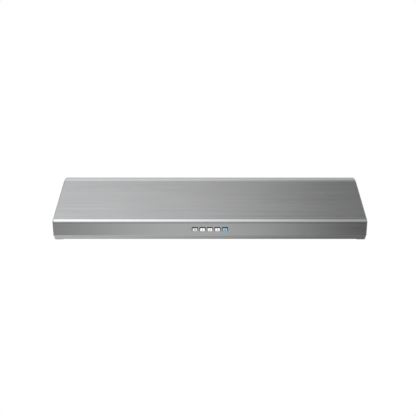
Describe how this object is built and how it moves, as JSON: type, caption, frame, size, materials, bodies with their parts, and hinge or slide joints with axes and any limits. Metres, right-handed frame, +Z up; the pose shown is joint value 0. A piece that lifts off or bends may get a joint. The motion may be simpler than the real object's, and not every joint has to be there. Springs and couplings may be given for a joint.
{
  "type": "under cabinet range hood",
  "caption": "Slim stainless under-cabinet range hood: sloped canopy, push-button front, blower, drop-down mesh filters, lamps and rear duct spigot.",
  "frame": {"origin": "middle of the top back edge, where the cabinet's underside meets the wall", "axes": "+Z up, -Y out of the front face, +Y into the wall, X across the width"},
  "size_m": [0.759, 0.5539, 0.1524],
  "materials": {
    "stainless": "horizontally brushed stainless steel",
    "galvanised": "galvanised sheet, dull",
    "zinc_fixings": "zinc-plated",
    "bright_steel": "bright wire and shaft",
    "motor_steel": "satin grey",
    "impeller_plastic": "moulded black",
    "bush_rubber": "matt",
    "capacitor_plastic": "semi-gloss",
    "terminal_plastic": "moulded",
    "control_plastic": "moulded dark grey",
    "circuit_board": "green solder mask",
    "button_white": "satin silver-white",
    "button_blue": "satin, backlit light blue",
    "lamp_body": "satin bezel",
    "lamp_lens": "frosted",
    "driver_case": "moulded white",
    "filter_aluminium": "satin",
    "filter_mesh": "expanded mesh",
    "latch_plastic": "moulded black",
    "lead_sleeve": "sleeved leads"
  },
  "bodies": {
    "hood": {"canopy_skin": "stainless", "right_end_cap": "stainless", "left_end_cap": "stainless", "underside_pan": "stainless", "back_panel": "galvanised", "top_knockout_plate": "galvanised", "duct_collar": "galvanised", "scroll_housing": "galvanised", "scroll_base": "galvanised", "right_pan_ledge": "galvanised", "left_pan_ledge": "galvanised", "junction_box": "galvanised", "junction_box_cover": "galvanised", "capacitor_strap": "galvanised", "blower_standoffs": "galvanised", "pan_screws": "zinc_fixings", "collar_screws": "zinc_fixings", "motor_screws": "zinc_fixings", "junction_cover_screw": "zinc_fixings", "carrier_nuts": "zinc_fixings", "inlet_guard": "bright_steel", "motor_stator": "motor_steel", "motor_upper_shell": "motor_steel", "motor_lower_shell": "motor_steel", "motor_bushes": "bush_rubber", "motor_lead_grommet": "bush_rubber", "run_capacitor": "capacitor_plastic", "terminal_block": "terminal_plastic", "button_carrier": "control_plastic", "control_cover": "control_plastic", "tact_switches": "control_plastic", "control_board": "circuit_board", "lamp_boards": "circuit_board", "right_lamp_housing": "lamp_body", "left_lamp_housing": "lamp_body", "lamp_lenses": "lamp_lens", "led_driver": "driver_case", "mains_loom": "lead_sleeve", "motor_loom": "lead_sleeve", "lamp_looms": "lead_sleeve"},
    "fan_wheel": {"impeller_backplate": "impeller_plastic", "impeller_blades": "impeller_plastic", "impeller_nut": "impeller_plastic", "motor_shaft": "bright_steel", "motor_rotor": "motor_steel"},
    "damper": {"damper_flap": "galvanised", "damper_rod": "bright_steel"},
    "right_filter": {"right_filter_frame": "filter_aluminium", "right_filter_mesh": "filter_mesh", "right_latch_spring": "bright_steel"},
    "right_latch": {"right_filter_latch": "latch_plastic"},
    "left_filter": {"left_filter_frame": "filter_aluminium", "left_filter_mesh": "filter_mesh", "left_latch_spring": "bright_steel"},
    "left_latch": {"left_filter_latch": "latch_plastic"},
    "lamp_button": {"lamp_button": "button_white"},
    "speed_1_button": {"speed_1_button": "button_white"},
    "speed_2_button": {"speed_2_button": "button_white"},
    "speed_3_button": {"speed_3_button": "button_white"},
    "power_button": {"power_button": "button_blue"}
  },
  "joints": [
    {"name": "fan_spin", "type": "hinge", "parent": "hood", "child": "fan_wheel", "pos_m": [-0.03, -0.178, -0.05], "axis": [0, 0, 1], "continuous": true},
    {"name": "damper_swing", "type": "hinge", "parent": "hood", "child": "damper", "pos_m": [0, 0.01, -0.014], "axis": [1, 0, 0], "range_deg": [0, 75]},
    {"name": "right_filter_drop", "type": "hinge", "parent": "hood", "child": "right_filter", "pos_m": [0.175, -0.047, -0.1355], "axis": [1, 0, 0], "range_deg": [0, 70]},
    {"name": "right_latch_pull", "type": "slide", "parent": "right_filter", "child": "right_latch", "axis": [0, 1, 0], "range_m": [0, 0.005], "stiffness_N_per_m": 400, "springref_m": -0.002, "deforming": ["right_latch_spring"]},
    {"name": "left_filter_drop", "type": "hinge", "parent": "hood", "child": "left_filter", "pos_m": [-0.175, -0.047, -0.1355], "axis": [1, 0, 0], "range_deg": [0, 70]},
    {"name": "left_latch_pull", "type": "slide", "parent": "left_filter", "child": "left_latch", "axis": [0, 1, 0], "range_m": [0, 0.005], "stiffness_N_per_m": 400, "springref_m": -0.002, "deforming": ["left_latch_spring"]},
    {"name": "lamp_button_press", "type": "slide", "parent": "hood", "child": "lamp_button", "axis": [0, 0.9272, 0.3746], "range_m": [0, 0.0022], "stiffness_N_per_m": 600, "springref_m": -0.0008},
    {"name": "speed_1_button_press", "type": "slide", "parent": "hood", "child": "speed_1_button", "axis": [0, 0.9272, 0.3746], "range_m": [0, 0.0022], "stiffness_N_per_m": 600, "springref_m": -0.0008},
    {"name": "speed_2_button_press", "type": "slide", "parent": "hood", "child": "speed_2_button", "axis": [0, 0.9272, 0.3746], "range_m": [0, 0.0022], "stiffness_N_per_m": 600, "springref_m": -0.0008},
    {"name": "speed_3_button_press", "type": "slide", "parent": "hood", "child": "speed_3_button", "axis": [0, 0.9272, 0.3746], "range_m": [0, 0.0022], "stiffness_N_per_m": 600, "springref_m": -0.0008},
    {"name": "power_button_press", "type": "slide", "parent": "hood", "child": "power_button", "axis": [0, 0.9272, 0.3746], "range_m": [0, 0.0022], "stiffness_N_per_m": 600, "springref_m": -0.0008}
  ]
}
